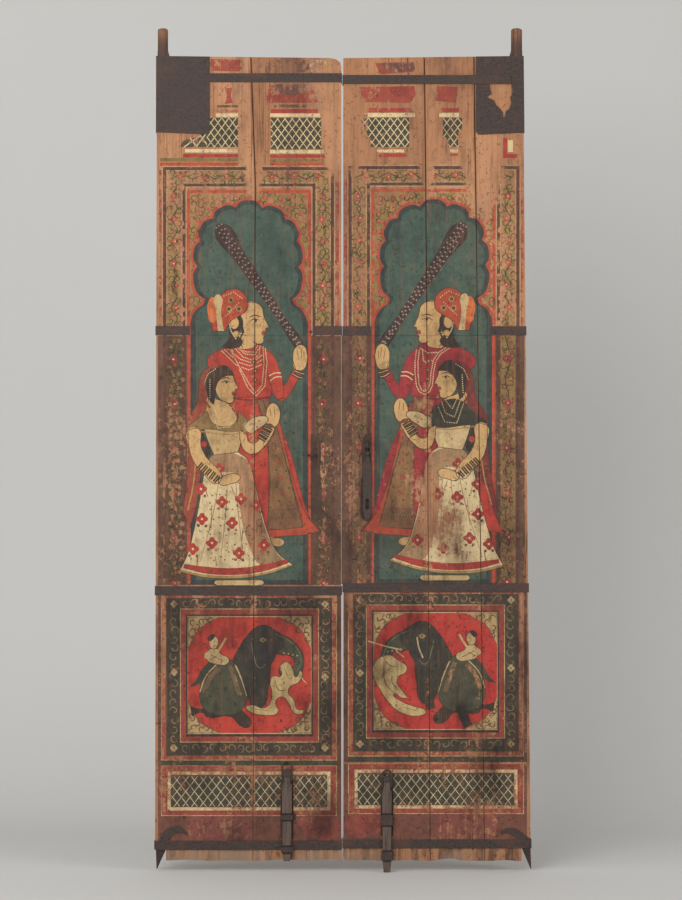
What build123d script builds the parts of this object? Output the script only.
from build123d import *
import math
import os

# A pair of painted plank door leaves with iron bands, pivots, drop bolts and a hasp.
# Millimetres, +Z up. The painted face looks along -Y, and Y = 0 is the middle of the wood.
# The origin is the point of the left leaf's bottom pivot spike.

# The two leaves
leaf_thickness = 36.0
meeting_gap = 4.8            # open joint between the two leaves
left_top_width = 442.5
left_bottom_width = 447.0
right_top_width = 431.0
right_bottom_width = 450.0   # the right leaf was cut wider at its foot
left_heel_overhang = 3.0     # wood outside the left spike's point
right_spike_overhang = 1.5   # right spike's point outside the wood
wood_above_point = 21.6      # wood's bottom edge above the spikes' points
heel_height = 1932.0         # wood's height along the pivot edge
top_fall = 5.0               # the top edge falls this much from the heel to the meeting edge
seam_gap = 0.6
seam_wear = 1.6              # worn chamfer along the seams' front edges
# Lost corner at the left leaf's meeting top: steps in from the edge and down from the top
chip_outline = [(0.0, 20.8), (2.4, 10.4), (12.7, 2.9), (27.0, 0.0)]

# Ragged feet of the planks: share of the plank's width, left to right, and rise of the edge
left_heel_foot = [(0.0, 0.0), (0.3, 3.0), (0.55, 0.3), (0.8, 1.5), (1.0, 0.0)]
left_meeting_foot = [(0.0, 0.0), (0.15, 1.0), (0.35, 4.5), (0.55, 1.2), (0.8, 2.6), (1.0, 3.0)]
right_meeting_foot = [(0.0, 4.0), (0.03, 0.5), (0.2, 2.6), (0.5, 0.4), (0.75, 2.2), (1.0, 0.0)]
right_middle_foot = [(0.0, 0.0), (0.25, 5.0), (0.4, 6.0), (0.6, 1.0), (1.0, 0.0)]
right_heel_foot = [(0.0, 0.0), (0.2, 0.6), (0.45, 2.4), (0.7, 0.0), (1.0, 0.0)]

# Seams between the planks, as distances from each leaf's meeting edge
left_seam_bottom = 212.0
left_seam_bend = 206.5
left_seam_top = 217.0
right_seam_bottom = 209.0
right_seam_bend = 198.0
right_seam_top = 194.5
right_heel_seam_bottom = 339.5
right_heel_seam_bend = 317.5
right_heel_seam_top = 313.5
seam_bend_height = 1634.0    # above the wood's bottom edge

# Hidden loose tenons across the seams
tenon_thickness = 10.0
tenon_height = 45.0
tenon_length = 60.0
tenon_count = 4
mortise_play = 0.05
mortise_end_play = 0.4
tenon_margin = 120.0         # middles of the first and last tenon to the wood's ends

# Top pivots, worked from the heel planks
left_post_radius = 12.4
right_post_radius = 13.4
left_post_inset = 13.3       # post's axis inside the leaf's top corner
right_post_inset = 14.2
post_rise = 68.0
post_root_step = 0.6         # the root is left a little thicker than the turned journal
post_root_height = 15.4
post_sunk = 6.0              # the round starts this far below the plank's top
# Worn tip: steps in from the pin's side and down from its top
post_tip_wear = [(0.0, 5.0), (1.2, 2.0), (4.6, 0.0)]
post_haunch_width = 4.3      # sloping wood left between post and plank
post_haunch_height = 14.0
post_haunch_thickness = 18.0

# Sheet-iron bands, four round each leaf
band_thickness = 2.0
band_width = 21.5
# Lower edges of the bands above the wood's bottom edge, and of the top bands below its top
left_band_heights = {"middle": 1262.4, "third": 637.9, "bottom": 27.2}
right_band_heights = {"middle": 1261.9, "third": 644.9, "bottom": 30.8}
left_top_band_drop = 63.1
right_top_band_drop = 67.4
lap_length = 46.0            # the band's end laps over itself on the back
lap_inset = 90.0             # from the pivot edge
top_band_end_inset = 29.0    # right top band stops this far from the heel edge
joggle_run = 6.0

# Corner plates, folded round the heel's top corner
plate_thickness = 2.0
left_plate_width = 126.7
right_plate_width = 113.0
left_plate_height = 183.0
right_plate_height = 184.0
plate_slope = 5.0            # bottom edge drops this much towards the leaf's middle
plate_corner_cut = 7.0

# Hole torn in the right plate: steps in from the heel edge and down from the leaf's top
torn_hole = [
    (80.0, 64.0), (31.0, 64.0), (26.5, 71.0), (24.5, 90.0), (30.5, 99.0), (28.0, 113.0),
    (33.0, 128.0), (40.5, 132.0), (43.0, 146.5), (47.0, 148.0), (48.0, 135.0), (57.0, 124.0),
    (64.0, 118.0), (69.0, 107.0), (86.0, 98.5), (75.0, 91.0), (78.0, 82.0),
]

# Nails and rivets
nail_width = 3.4             # square, hand-forged shank
nail_depth = 22.0
head_sides = 8
head_slope = 50.0            # hammered sides of the heads, from upright
rivet_head_radius = 4.6
rivet_head_height = 2.2
flat_head_radius = 3.2
flat_head_height = 0.8
plate_nail_inset = 11.0
left_rivet_inset = 74.0      # rivets seen on the middle bands, from the meeting edges
right_rivet_inset = 363.8
lap_rivet_places = (0.3, 0.75)    # shares of the lap's length

# Bottom pivot irons, a strap that ends below in a spike and above in a sickle
iron_thickness = 5.0
sickle_proud = 2.0
spike_root_width = 23.0
left_spike_edge_inset = 2.0
right_spike_edge_inset = 0.3
spike_root_depth = 30.0
spike_tip = 1.4
spike_notch_play = 0.4
sickle_play = 0.2            # raised part of the sickle to the band's top edge
# Sickle outlines: steps in from the spike's point and up from the bottom band's top edge
left_sickle_outer = [(7.0, -0.3), (20.0, 22.7), (47.0, 35.2), (74.5, 15.1)]
left_sickle_inner = [(72.5, 13.3), (51.0, 18.7), (38.0, 10.7), (29.0, -0.3)]
right_sickle_outer = [(4.5, 2.1), (20.0, 14.1), (47.0, 26.9), (75.8, 14.9)]
right_sickle_inner = [(73.5, 13.3), (52.5, 12.9), (40.0, 6.1), (30.5, -3.9)]

# Drop bolts on the foot of each leaf
bolt_thickness = 9.0
bolt_edge_bevel = 0.9
bolt_play = 0.3
left_bolt_inset = 130.3      # bolt's middle from the leaf's meeting edge
left_bolt_tip_rise = 1.0     # drawn up: its tip ends at the wood's bottom edge
left_bolt_length = 200.6
left_bolt_head_length = 83.0
left_bolt_head_width = 23.8
left_bolt_bar_width = 20.2
right_bolt_inset = 104.6
right_bolt_tip_rise = -25.7  # let down: its tip stands out below the wood
right_bolt_length = 213.9
right_bolt_head_length = 71.8
right_bolt_head_width = 22.8
right_bolt_bar_width = 20.6
bolt_neck_width = 15.6
bolt_neck_drop = 24.0
bolt_shoulder_drop = 6.0
bolt_tip_width = 16.0
bolt_tip_length = 20.0

# Forged wire has flat sides, with its corners at the wire's radius
wire_sides = 6

# Pull loops forged into the bolts' heads
loop_wire_radius = 2.5
loop_width = 27.4
left_loop_rise = 40.1        # above the bolt's top
right_loop_rise = 32.6
loop_foot_drop = 10.0        # cross hole below the bolt's top
loop_foot_gap = 1.0
loop_foot_bend = 3.0
loop_hole_play = 0.05

# Keepers, straps that bridge the bolts with their legs driven into the planks
keeper_thickness = 2.0
keeper_side_play = 0.5
keeper_front_play = 0.4
keeper_leg_depth = 14.0
# Lower edge above the wood's bottom edge, and strap width
left_upper_keeper = (100.1, 12.2)
left_lower_keeper = (21.8, 13.4)
right_upper_keeper = (87.1, 25.0)
right_lower_keeper = (3.0, 20.8)
keeper_ear_length = 7.5

# Staples, hasp ring and hasp at mid height
left_staple_inset = 70.3     # from the left leaf's meeting edge
left_staple_height = 974.4   # above the wood's bottom edge
left_staple_wire = 2.75
left_staple_width = 24.0
left_staple_reach = 22.0
hasp_inset = 57.6            # from the right leaf's meeting edge
ring_height = 986.4          # ring's middle above the wood's bottom edge
ring_radius = 9.0
ring_bar = 3.2               # side of the ring's square bar
right_staple_wire = 3.0
right_staple_spread = 16.0   # between the two arms' axes
right_staple_reach = 19.0
staple_depth = 24.0
link_play = 0.3
hasp_thickness = 2.5
hasp_width = 20.4
hasp_tip_drop = 37.7         # tip below the slot's middle
hasp_neck_width = 8.0
hasp_neck_length = 11.0      # below the eye's middle
hasp_shoulder_length = 30.0
hasp_eye_play = 1.9
hasp_eye_seat = 1.0          # tongue's start inside the eye's wall
hasp_taper_length = 26.0
hasp_round_length = 10.0
hasp_round_width = 16.4
hasp_tip_width = 7.0
slot_play = 3.0              # slot to staple, along and across
ring_from_bend = 1.0         # ring hangs this far behind the staple's bend

cut_past = 1.0               # cutters stand this far past the faces that they open

# Places worked out from the sizes above
face_y = -leaf_thickness / 2
back_y = leaf_thickness / 2
wood_z = wood_above_point
heel_top_z = wood_z + heel_height
meeting_top_z = heel_top_z - top_fall
left_meeting_x = left_bottom_width - left_heel_overhang
right_meeting_x = left_meeting_x + meeting_gap
right_point_x = right_meeting_x + right_bottom_width + right_spike_overhang
left_band_low = {name: wood_z + rise for name, rise in left_band_heights.items()}
right_band_low = {name: wood_z + rise for name, rise in right_band_heights.items()}
left_band_low["top"] = heel_top_z - left_top_band_drop
right_band_low["top"] = heel_top_z - right_top_band_drop
left_bolt_x = left_meeting_x - left_bolt_inset
right_bolt_x = right_meeting_x + right_bolt_inset
left_bolt_tip = wood_z + left_bolt_tip_rise
right_bolt_tip = wood_z + right_bolt_tip_rise
bolt_back = face_y - band_thickness - bolt_play
bolt_middle = bolt_back - bolt_thickness / 2
hasp_x = right_meeting_x + hasp_inset
ring_z = wood_z + ring_height
# The ring's inside hangs just under the staple arm that it turns on
arm_z = ring_z + ring_radius - ring_bar / 2 - right_staple_wire - link_play
ring_y = face_y - right_staple_reach + right_staple_wire + right_staple_spread / 2 + ring_from_bend
left_staple_x = left_meeting_x - left_staple_inset
left_staple_z = wood_z + left_staple_height
# The hasp swings about that arm, so its slot lies as far below it as the left staple is away
slot_z = arm_z - math.hypot(hasp_x - left_staple_x, arm_z - left_staple_z)

LEFT = {
    "name": "left", "side": -1, "meeting_x": left_meeting_x, "point_x": 0.0,
    "foot_x": left_meeting_x - left_bottom_width, "top_x": left_meeting_x - left_top_width,
    "post_radius": left_post_radius, "post_inset": left_post_inset,
    "bands": left_band_low, "rivet_x": left_meeting_x - left_rivet_inset,
    "plate_width": left_plate_width, "plate_height": left_plate_height,
    "sickle_outer": left_sickle_outer, "sickle_inner": left_sickle_inner,
    "spike_inset": left_spike_edge_inset,
}
RIGHT = {
    "name": "right", "side": 1, "meeting_x": right_meeting_x, "point_x": right_point_x,
    "foot_x": right_meeting_x + right_bottom_width, "top_x": right_meeting_x + right_top_width,
    "post_radius": right_post_radius, "post_inset": right_post_inset,
    "bands": right_band_low, "rivet_x": right_meeting_x + right_rivet_inset,
    "plate_width": right_plate_width, "plate_height": right_plate_height,
    "sickle_outer": right_sickle_outer, "sickle_inner": right_sickle_inner,
    "spike_inset": right_spike_edge_inset,
}


def front_shape(outline, y_from, y_to):
    """A flat piece with an outline drawn on the door's face, between two depths."""
    wire = Polyline([(x, y_from, z) for x, z in outline], close=True)
    return extrude(make_face(wire), amount=y_to - y_from, dir=(0, 1, 0))


def side_shape(outline, x_from, x_to):
    """A flat piece with an outline drawn on the leaf's edge, between two widths."""
    wire = Polyline([(x_from, y, z) for y, z in outline], close=True)
    return extrude(make_face(wire), amount=x_to - x_from, dir=(1, 0, 0))


def plan_shape(outline, z_from, z_to):
    """A strip with a profile drawn from above, between two heights."""
    wire = Polyline([(x, y, z_from) for x, y in outline], close=True)
    return extrude(make_face(wire), amount=z_to - z_from, dir=(0, 0, 1))


def heel_x(leaf, z):
    """The leaf's pivot edge at a height: the edge leans a little."""
    share = (z - wood_z) / heel_height
    return leaf["foot_x"] + share * (leaf["top_x"] - leaf["foot_x"])


def top_z(leaf, x):
    """The leaf's top edge, which falls a little from the heel to the meeting edge."""
    share = (x - leaf["top_x"]) / (leaf["meeting_x"] - leaf["top_x"])
    return heel_top_z + share * (meeting_top_z - heel_top_z)


def seam_points(leaf, bottom, bend, top, shift):
    """A seam from its foot to the top edge, shifted sideways by half the open joint."""
    inward = leaf["side"]
    heights = [wood_z, wood_z + seam_bend_height]
    xs = [leaf["meeting_x"] + inward * step + shift for step in (bottom, bend, top)]
    return [(xs[0], heights[0]), (xs[1], heights[1]), (xs[2], top_z(leaf, xs[2]))]


def worn_foot(x_from, x_to, wear):
    """Points of a plank's ragged bottom edge, from left to right."""
    return [(x_from + share * (x_to - x_from), wood_z + rise) for share, rise in wear]


def pivot_post(leaf):
    """The turned wooden pin that stands on the heel plank, with its worn round tip."""
    radius = leaf["post_radius"]
    axis_x = leaf["top_x"] - leaf["side"] * leaf["post_inset"]
    seat = top_z(leaf, axis_x) - post_sunk
    height = heel_top_z + post_rise - seat
    root = radius + post_root_step
    shoulder = heel_top_z + post_root_height - seat
    tip = [(radius - step_in, 0, height - step_down) for step_in, step_down in post_tip_wear]
    profile = Polyline(
        [(0, 0, 0), (root, 0, 0), (root, 0, shoulder), (radius, 0, shoulder), *tip, (0, 0, height)],
        close=True,
    )
    pin = Pos(axis_x, 0, seat) * revolve(make_face(profile), Axis.Z)
    inner = axis_x - leaf["side"] * radius
    haunch = front_shape(
        [
            (axis_x, seat), (inner - leaf["side"] * post_haunch_width, seat),
            (inner - leaf["side"] * post_haunch_width, heel_top_z),
            (inner, heel_top_z + post_haunch_height), (axis_x, heel_top_z + post_haunch_height),
        ],
        -post_haunch_thickness / 2, post_haunch_thickness / 2,
    )
    return pin + haunch


def seam_x(points, z):
    """A seam's place at a height, along its two straight stretches."""
    for (x0, z0), (x1, z1) in zip(points, points[1:]):
        if z <= z1:
            return x0 + (x1 - x0) * (z - z0) / (z1 - z0)
    return points[-1][0]


def wear_seam(plank, *seams):
    """Rounds a plank's front edges where they run along its seams."""
    near = 0.01
    edges = [
        edge for edge in plank.edges()
        if abs(edge.center().Y - face_y) < near
        and any(abs(edge.center().X - seam_x(points, edge.center().Z)) < near for points in seams)
    ]
    return chamfer(edges, seam_wear)


def spike_notch(leaf):
    """Wood cut away at the heel's foot, where the spike stands."""
    band_low = leaf["bands"]["bottom"]
    edge_in = leaf["point_x"] - leaf["side"] * (spike_root_width + spike_notch_play)
    edge_out = leaf["foot_x"] + leaf["side"] * spike_root_width
    return front_shape(
        [(edge_in, 0), (edge_out, 0), (edge_out, band_low), (edge_in, band_low)], face_y, back_y)


def left_planks():
    """Heel plank with its pivot post, and meeting plank with its lost corner."""
    half = seam_gap / 2
    seam = (left_seam_bottom, left_seam_bend, left_seam_top)
    heel_side = seam_points(LEFT, *seam, -half)
    meeting_side = seam_points(LEFT, *seam, half)
    foot = worn_foot(LEFT["foot_x"], heel_side[0][0], left_heel_foot)
    heel = front_shape(foot + heel_side[1:] + [(LEFT["top_x"], heel_top_z)], face_y, back_y)
    heel = wear_seam(heel, heel_side)
    heel = heel - spike_notch(LEFT) + left_post
    edge_x = LEFT["meeting_x"]
    chip = [(edge_x - step_in, top_z(LEFT, edge_x - step_in) - step_down)
            for step_in, step_down in chip_outline]
    foot = worn_foot(meeting_side[0][0], edge_x, left_meeting_foot)
    meeting = front_shape(foot + chip + [meeting_side[2], meeting_side[1]], face_y, back_y)
    return heel, wear_seam(meeting, meeting_side)


def right_planks():
    """Heel plank with its pivot post, narrow middle plank and meeting plank."""
    half = seam_gap / 2
    inner = (right_seam_bottom, right_seam_bend, right_seam_top)
    outer = (right_heel_seam_bottom, right_heel_seam_bend, right_heel_seam_top)
    meeting_side = seam_points(RIGHT, *inner, -half)
    middle_left = seam_points(RIGHT, *inner, half)
    middle_right = seam_points(RIGHT, *outer, -half)
    heel_side = seam_points(RIGHT, *outer, half)
    edge_x = RIGHT["meeting_x"]
    foot = worn_foot(edge_x, meeting_side[0][0], right_meeting_foot)
    meeting = front_shape(foot + meeting_side[1:] + [(edge_x, meeting_top_z)], face_y, back_y)
    foot = worn_foot(middle_left[0][0], middle_right[0][0], right_middle_foot)
    middle = front_shape(
        foot + middle_right[1:] + [middle_left[2], middle_left[1]], face_y, back_y)
    foot = worn_foot(heel_side[0][0], RIGHT["foot_x"], right_heel_foot)
    heel = front_shape(
        foot + [(RIGHT["top_x"], heel_top_z), heel_side[2], heel_side[1]], face_y, back_y)
    heel = wear_seam(heel, heel_side) - spike_notch(RIGHT) + right_post
    return heel, wear_seam(middle, middle_left, middle_right), wear_seam(meeting, meeting_side)


def tenons(points, play=0.0, end_play=0.0):
    """Loose tenons across one seam, spread evenly, or their mortises where a play is given."""
    tongue = Box(tenon_length + 2 * end_play, tenon_thickness + 2 * play, tenon_height + 2 * play)
    step = (heel_height - top_fall - 2 * tenon_margin) / (tenon_count - 1)
    heights = [wood_z + tenon_margin + step * i for i in range(tenon_count)]
    return [Pos(seam_x(points, z), 0, z) * tongue for z in heights]


def hoop(leaf, z_low):
    """A closed band that follows the leaf's two edges, with its lap on the back."""
    z_high = z_low + band_width
    side = leaf["side"]
    grow = band_thickness
    wood = [
        (heel_x(leaf, z_low), z_low), (heel_x(leaf, z_high), z_high),
        (leaf["meeting_x"], z_high), (leaf["meeting_x"], z_low),
    ]
    ring = [
        (wood[0][0] + side * grow, z_low), (wood[1][0] + side * grow, z_high),
        (wood[2][0] - side * grow, z_high), (wood[3][0] - side * grow, z_low),
    ]
    band = front_shape(ring, face_y - grow, back_y + grow) - front_shape(wood, face_y, back_y)
    start = heel_x(leaf, z_low) - side * lap_inset
    end = start - side * lap_length
    lap = plan_shape(
        [(start, back_y + grow), (end, back_y + grow),
         (end, back_y + 2 * grow), (start - side * grow, back_y + 2 * grow)],
        z_low, z_high,
    )
    return band + lap


def lap_rivets(leaf, z_low):
    """Places of the two rivets through a band's lap on the back."""
    start = heel_x(leaf, z_low) - leaf["side"] * lap_inset
    return [
        (start - leaf["side"] * lap_length * share, back_y + 2 * band_thickness,
         z_low + band_width / 2)
        for share in lap_rivet_places
    ]


def left_top_band():
    """The top band butts against the corner plate and clasps the meeting edge."""
    z_low = left_band_low["top"]
    z_high = z_low + band_width
    start = LEFT["top_x"] + left_plate_width
    edge = LEFT["meeting_x"]
    outside = plan_shape(
        [(start, face_y - band_thickness), (edge + band_thickness, face_y - band_thickness),
         (edge + band_thickness, back_y + band_thickness), (start, back_y + band_thickness)],
        z_low, z_high,
    )
    wood = plan_shape(
        [(start - cut_past, face_y), (edge, face_y), (edge, back_y), (start - cut_past, back_y)],
        z_low - cut_past, z_high + cut_past,
    )
    return outside - wood


def right_top_band():
    """The top band steps up over the corner plate and ends short of the heel."""
    z_low = right_band_low["top"]
    z_high = z_low + band_width
    edge = RIGHT["meeting_x"]
    plate_edge = RIGHT["top_x"] - right_plate_width
    end = RIGHT["top_x"] - top_band_end_inset
    grow = band_thickness
    step = plate_thickness
    profile = [
        (plate_edge, back_y + grow), (edge - grow, back_y + grow), (edge - grow, face_y - grow),
        (plate_edge - joggle_run, face_y - grow), (plate_edge, face_y - step - grow),
        (end, face_y - step - grow), (end, face_y - step), (plate_edge, face_y - step),
        (plate_edge - joggle_run, face_y), (edge, face_y), (edge, back_y), (plate_edge, back_y),
    ]
    return plan_shape(profile, z_low, z_high)


def corner_plate(leaf):
    """Sheet iron folded round the heel's top corner, on the front, the edge and the back."""
    side = leaf["side"]
    low_z = heel_top_z - leaf["plate_height"]
    inner_x = leaf["top_x"] - side * leaf["plate_width"]
    grow = side * plate_thickness
    sheet = [
        (leaf["top_x"] + grow, heel_top_z), (inner_x, top_z(leaf, inner_x)),
        (inner_x, low_z - plate_slope + plate_corner_cut),
        (inner_x + side * plate_corner_cut, low_z - plate_slope),
        (heel_x(leaf, low_z) + grow, low_z),
    ]
    above = heel_top_z + cut_past
    below = low_z - plate_slope - cut_past
    open_x = inner_x - side * cut_past
    wood = [
        (heel_x(leaf, above), above), (open_x, above), (open_x, below), (heel_x(leaf, below), below),
    ]
    plate = front_shape(sheet, face_y - plate_thickness, back_y + plate_thickness)
    return plate - front_shape(wood, face_y, back_y)


def torn_opening():
    """The ragged hole through the right plate's front wall."""
    outline = [(RIGHT["top_x"] - step_in, heel_top_z - step_down) for step_in, step_down in torn_hole]
    return front_shape(outline, face_y - plate_thickness - cut_past, face_y)


def nail(x, y, z, into, head_radius, head_height):
    """A forged nail or rivet: its faceted head lies at a face, its shank goes into the wood."""
    shank = Box(nail_width, nail_width, nail_depth, align=(Align.CENTER, Align.CENTER, Align.MAX))
    head = extrude(RegularPolygon(head_radius, head_sides), amount=head_height, taper=head_slope)
    turn = Rot(X=90) if into > 0 else Rot(X=-90)
    return Pos(x, y, z) * (turn * (shank + head))


def plate_nails(leaf):
    """Flat-headed nails near the plate's corners, front and back."""
    side = leaf["side"]
    outer = leaf["top_x"] - side * (plate_nail_inset + flat_head_radius)
    inner = leaf["top_x"] - side * (leaf["plate_width"] - plate_nail_inset)
    low = heel_top_z - leaf["plate_height"] + plate_nail_inset
    high = heel_top_z - plate_nail_inset
    nails = []
    for x, z in ((outer, low), (outer, high), (inner, low), (inner, high)):
        nails.append(nail(x, face_y - plate_thickness, z, 1, flat_head_radius, flat_head_height))
    for x, z in ((inner, low), (inner, high)):
        nails.append(nail(x, back_y + plate_thickness, z + 2 * flat_head_radius, -1,
                          flat_head_radius, flat_head_height))
    return nails


def band_rivets(leaf):
    """The rivet seen on the middle band and the lap rivets on the back."""
    bands = leaf["bands"]
    rivets = [nail(leaf["rivet_x"], face_y - band_thickness, bands["middle"] + band_width / 3, 1,
                   rivet_head_radius, rivet_head_height)]
    for name in ("middle", "third", "bottom"):
        for x, y, z in lap_rivets(leaf, bands[name]):
            rivets.append(nail(x, y, z, -1, rivet_head_radius, rivet_head_height))
    return rivets


def pivot_iron(leaf):
    """Strap let into the face under the bottom band, a sickle above it and the spike below."""
    inward = -leaf["side"]
    point = leaf["point_x"]
    band_low = leaf["bands"]["bottom"]
    band_top = band_low + band_width
    outer = [(point + inward * x, face_y, band_top + z) for x, z in leaf["sickle_outer"]]
    inner = [(point + inward * x, face_y, band_top + z) for x, z in leaf["sickle_inner"]]
    root_in = point + inward * spike_root_width
    root_out = heel_x(leaf, band_low) + inward * leaf["spike_inset"]
    outline = Spline(outer) + Line(outer[-1], inner[0]) + Spline(inner)
    outline += Polyline(
        inner[-1], (root_in, face_y, band_low), (root_out, face_y, band_low), outer[0])
    face = make_face(outline)
    strap = extrude(face, amount=iron_thickness, dir=(0, 1, 0))
    proud = extrude(face, amount=sickle_proud, dir=(0, -1, 0))
    raised = split(proud, bisect_by=Plane(origin=(point, 0, band_top + sickle_play)), keep=Keep.TOP)
    root_back = face_y + spike_root_depth
    half_tip = spike_tip / 2
    front = [(root_out, band_low), (root_in, band_low),
             (point + inward * half_tip, 0), (point - inward * half_tip, 0)]
    flank = [(face_y, band_low), (root_back, band_low), (half_tip, 0), (-half_tip, 0)]
    wide = [point - spike_root_width - spike_tip, point + spike_root_width + spike_tip]
    spike = front_shape(front, face_y, root_back) & side_shape(flank, *wide)
    return strap + raised + spike


def bolt(x, tip, length, head_length, head_width, bar_width):
    """A flat forged bolt: narrow neck for the loop, wide head, bar and worn tip."""
    top = tip + length
    shoulder = top - head_length
    half_outline = [
        (bolt_neck_width / 2, top), (bolt_neck_width / 2, top - bolt_neck_drop / 2),
        (head_width / 2, top - bolt_neck_drop), (head_width / 2, shoulder),
        (bar_width / 2, shoulder - bolt_shoulder_drop), (bar_width / 2, tip + bolt_tip_length),
        (bolt_tip_width / 2, tip),
    ]
    outline = [(x + dx, z) for dx, z in half_outline] + [(x - dx, z) for dx, z in half_outline[::-1]]
    bar = front_shape(outline, bolt_back - bolt_thickness, bolt_back)
    bar = chamfer(bar.faces().sort_by(Axis.Y)[0].edges(), bolt_edge_bevel)
    hole = Rot(Y=90) * Cylinder(loop_wire_radius + loop_hole_play, head_width)
    return bar - Pos(x, bolt_middle, top - loop_foot_drop) * hole


def forged_wire(path, radius):
    """Wire with flat sides, bent along a path."""
    start = Plane(origin=path @ 0, z_dir=path % 0)
    return sweep(start * RegularPolygon(radius, wire_sides, rotation=180 / wire_sides), path)


def bolt_loop(x, top, rise):
    """A wire stirrup whose feet turn into the cross hole of the bolt's head."""
    foot_z = top - loop_foot_drop
    arm = loop_width / 2 - loop_wire_radius
    crown = top + rise - loop_wire_radius - arm
    cut = loop_foot_bend * (1 - math.sqrt(0.5))
    wires = []
    for way in (-1, 1):
        foot = (x + way * loop_foot_gap, bolt_middle, foot_z)
        turn = (x + way * (arm - loop_foot_bend), bolt_middle, foot_z)
        rise_start = (x + way * arm, bolt_middle, foot_z + loop_foot_bend)
        middle = (x + way * (arm - cut), bolt_middle, foot_z + cut)
        wires += [Line(foot, turn), ThreePointArc(turn, middle, rise_start),
                  Line(rise_start, (x + way * arm, bolt_middle, crown))]
    wires.append(ThreePointArc((x - arm, bolt_middle, crown), (x, bolt_middle, crown + arm),
                               (x + arm, bolt_middle, crown)))
    path = Wire(wires)
    return forged_wire(path, loop_wire_radius)


def keeper(x, passage, height, width, ear=False):
    """A strap bridging a bolt. Its legs go into the wood, or one turns out into a nailed ear."""
    foot = wood_z + height
    half = passage / 2 + keeper_side_play
    front = bolt_back - bolt_thickness - keeper_front_play
    deep = face_y + keeper_leg_depth
    outer = half + keeper_thickness
    profile = [
        (x - outer, deep), (x - outer, front - keeper_thickness), (x + outer, front - keeper_thickness),
    ]
    if ear:
        profile += [
            (x + outer, face_y - keeper_thickness),
            (x + outer + keeper_ear_length, face_y - keeper_thickness),
            (x + outer + keeper_ear_length, face_y), (x + half, face_y),
        ]
    else:
        profile += [(x + outer, deep), (x + half, deep)]
    profile += [(x + half, front), (x - half, front), (x - half, deep)]
    strap = plan_shape(profile, foot, foot + width)
    bends = strap.faces().sort_by(Axis.Y)[0].edges().filter_by(Axis.Z)
    return fillet(bends, keeper_thickness)


def ear_nail():
    """The nail through the left upper keeper's ear."""
    height, width = left_upper_keeper
    x = left_bolt_x + left_bolt_head_width / 2 + keeper_side_play + keeper_thickness
    return nail(x + keeper_ear_length / 2, face_y - keeper_thickness, wood_z + height + width / 2, 1,
                flat_head_radius, flat_head_height)


def staple(x, z, wire, spread, reach, upright):
    """Forged wire bent to a U, with both legs driven into the plank."""
    half = spread / 2
    bend_y = face_y - reach + wire + half
    leg_y = face_y + staple_depth

    def at(y, step):
        return (x, y, z + step) if upright else (x + step, y, z)

    path = Wire([
        Line(at(leg_y, -half), at(bend_y, -half)),
        ThreePointArc(at(bend_y, -half), at(bend_y - half, 0), at(bend_y, half)),
        Line(at(bend_y, half), at(leg_y, half)),
    ])
    return forged_wire(path, wire)


def ring():
    """Square-bar link between the right staple and the hasp."""
    section = Pos(X=ring_radius) * Rectangle(ring_bar, ring_bar)
    return Pos(hasp_x, ring_y, ring_z) * Rot(X=90) * revolve(Plane.XZ * section, Axis.Z)


def hasp():
    """A flat tongue with an eye rolled round the ring's lowest stretch and a slot near its tip."""
    eye_z = ring_z - ring_radius
    eye_inner = ring_bar / 2 + hasp_eye_play
    eye_outer = eye_inner + hasp_thickness
    tip_z = slot_z - hasp_tip_drop
    half_outline = [
        (hasp_neck_width / 2, eye_z - eye_inner - hasp_eye_seat),
        (hasp_neck_width / 2, eye_z - hasp_neck_length),
        (hasp_width / 2, eye_z - hasp_shoulder_length), (hasp_width / 2, tip_z + hasp_taper_length),
        (hasp_round_width / 2, tip_z + hasp_round_length), (hasp_tip_width / 2, tip_z),
    ]
    outline = [(hasp_x + dx, z) for dx, z in half_outline]
    outline += [(hasp_x - dx, z) for dx, z in half_outline[::-1]]
    tongue = front_shape(outline, ring_y - hasp_thickness / 2, ring_y + hasp_thickness / 2)
    slot = SlotOverall(left_staple_width + slot_play, 2 * left_staple_wire + slot_play, rotation=90)
    tongue -= Pos(hasp_x, ring_y, slot_z) * (Rot(X=90) * extrude(slot, hasp_thickness, both=True))
    eye = Cylinder(eye_outer, hasp_neck_width) - Cylinder(eye_inner, hasp_neck_width)
    return tongue + Pos(hasp_x, ring_y, eye_z) * (Rot(Y=90) * eye)


def keep(name, shape):
    """Writes one named piece, or a group of like pieces, to its own file."""
    solids = shape if isinstance(shape, list) else list(shape.solids())
    export_step(Compound(children=solids) if len(solids) > 1 else solids[0], f"parts/{name}.step")
    volume = sum(solid.volume for solid in solids)
    print(f"{name}: {len(solids)} solid(s), {volume / 1000:.1f} cm3")


def minus(piece, cutters):
    """A piece with a seat cut for each thing that is set into it."""
    for cutter in cutters:
        piece = piece - cutter
    return piece


left_post = pivot_post(LEFT)
right_post = pivot_post(RIGHT)
left_heel, left_meeting = left_planks()
right_heel, right_middle, right_meeting = right_planks()

left_seam = seam_points(LEFT, left_seam_bottom, left_seam_bend, left_seam_top, 0)
right_seam = seam_points(RIGHT, right_seam_bottom, right_seam_bend, right_seam_top, 0)
right_heel_seam = seam_points(
    RIGHT, right_heel_seam_bottom, right_heel_seam_bend, right_heel_seam_top, 0)

left_mortises = tenons(left_seam, mortise_play, mortise_end_play)
right_mortises = tenons(right_seam, mortise_play, mortise_end_play)
right_mortises += tenons(right_heel_seam, mortise_play, mortise_end_play)

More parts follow.
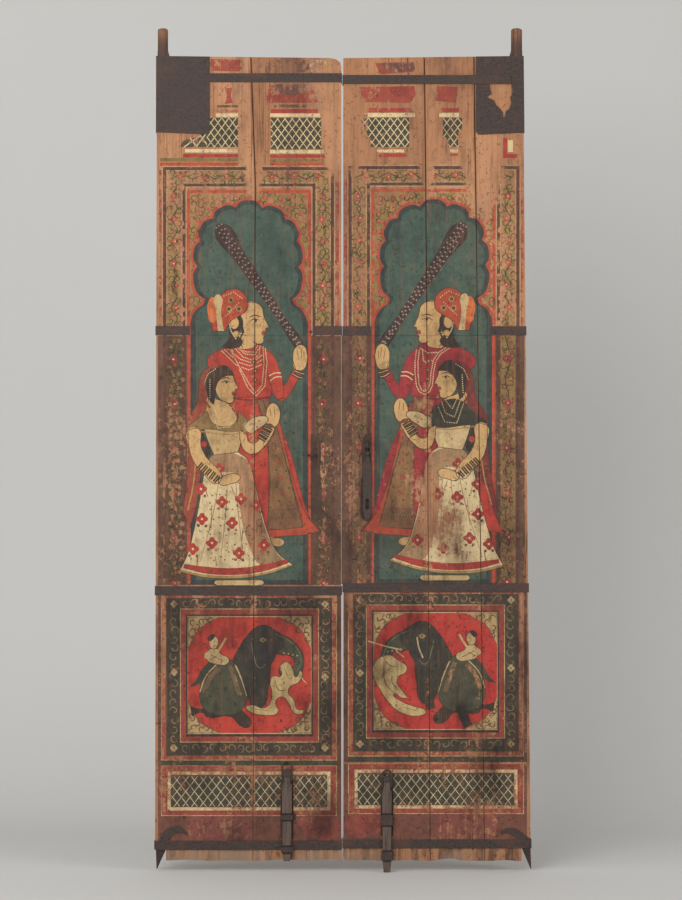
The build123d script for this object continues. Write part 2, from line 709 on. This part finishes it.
left_plate_nails = plate_nails(LEFT)
right_plate_nails = plate_nails(RIGHT)
left_rivets = band_rivets(LEFT)
right_rivets = band_rivets(RIGHT)
left_iron = pivot_iron(LEFT)
right_iron = pivot_iron(RIGHT)
left_keepers = [
    keeper(left_bolt_x, left_bolt_head_width, *left_upper_keeper, ear=True),
    keeper(left_bolt_x, left_bolt_head_width, *left_lower_keeper),
]
right_keepers = [
    keeper(right_bolt_x, right_bolt_head_width, *right_upper_keeper),
    keeper(right_bolt_x, right_bolt_head_width, *right_lower_keeper),
]
keeper_nail = ear_nail()
left_staple = staple(left_staple_x, left_staple_z, left_staple_wire,
                     left_staple_width - 2 * left_staple_wire, left_staple_reach, upright=False)
right_staple = staple(hasp_x, arm_z + right_staple_spread / 2, right_staple_wire,
                      right_staple_spread, right_staple_reach, upright=True)

left_set = left_plate_nails + left_rivets + left_keepers + [keeper_nail, left_iron, left_staple]
right_set = right_plate_nails + right_rivets + right_keepers + [right_iron, right_staple]

os.makedirs("parts", exist_ok=True)

keep("left_heel_plank", minus(left_heel, left_mortises + left_set))
keep("left_meeting_plank", minus(left_meeting, left_mortises + left_set))
keep("left_seam_tenons", tenons(left_seam))
keep("right_heel_plank", minus(right_heel, right_mortises + right_set))
keep("right_middle_plank", minus(right_middle, right_mortises + right_set))
keep("right_meeting_plank", minus(right_meeting, right_mortises + right_set))
keep("right_seam_tenons", tenons(right_seam) + tenons(right_heel_seam))

left_plate = minus(corner_plate(LEFT), left_plate_nails + [left_post])
right_plate = minus(corner_plate(RIGHT), right_plate_nails + [right_post, torn_opening()])
keep("left_corner_plate", left_plate)
keep("right_corner_plate", right_plate)
keep("left_plate_nails", left_plate_nails)
keep("right_plate_nails", right_plate_nails)

keep("left_top_band", left_top_band())
keep("right_top_band", right_top_band())
for name in ("middle", "third", "bottom"):
    left_fixings = left_rivets + left_keepers
    keep(f"left_{name}_band", minus(hoop(LEFT, left_band_low[name]), left_fixings))
    keep(f"right_{name}_band", minus(hoop(RIGHT, right_band_low[name]), right_rivets))
keep("left_band_rivets", left_rivets)
keep("right_band_rivets", right_rivets)

keep("left_pivot_iron", left_iron)
keep("right_pivot_iron", right_iron)

keep("left_bolt", bolt(left_bolt_x, left_bolt_tip, left_bolt_length, left_bolt_head_length,
                       left_bolt_head_width, left_bolt_bar_width))
keep("left_bolt_loop", bolt_loop(left_bolt_x, left_bolt_tip + left_bolt_length, left_loop_rise))
keep("left_upper_keeper", minus(left_keepers[0], [keeper_nail]))
keep("left_lower_keeper", left_keepers[1])
keep("left_keeper_nail", keeper_nail)
keep("right_bolt", bolt(right_bolt_x, right_bolt_tip, right_bolt_length, right_bolt_head_length,
                        right_bolt_head_width, right_bolt_bar_width))
keep("right_bolt_loop", bolt_loop(right_bolt_x, right_bolt_tip + right_bolt_length, right_loop_rise))
keep("right_upper_keeper", right_keepers[0])
keep("right_lower_keeper", right_keepers[1])

keep("left_staple", left_staple)
keep("right_staple", right_staple)
keep("hasp_ring", ring())
keep("hasp", hasp())

print("ring", hasp_x, ring_y, ring_z, "arm height", arm_z, "slot height", slot_z)
print("right point", right_point_x, "right post axis", RIGHT["top_x"] - right_post_inset)
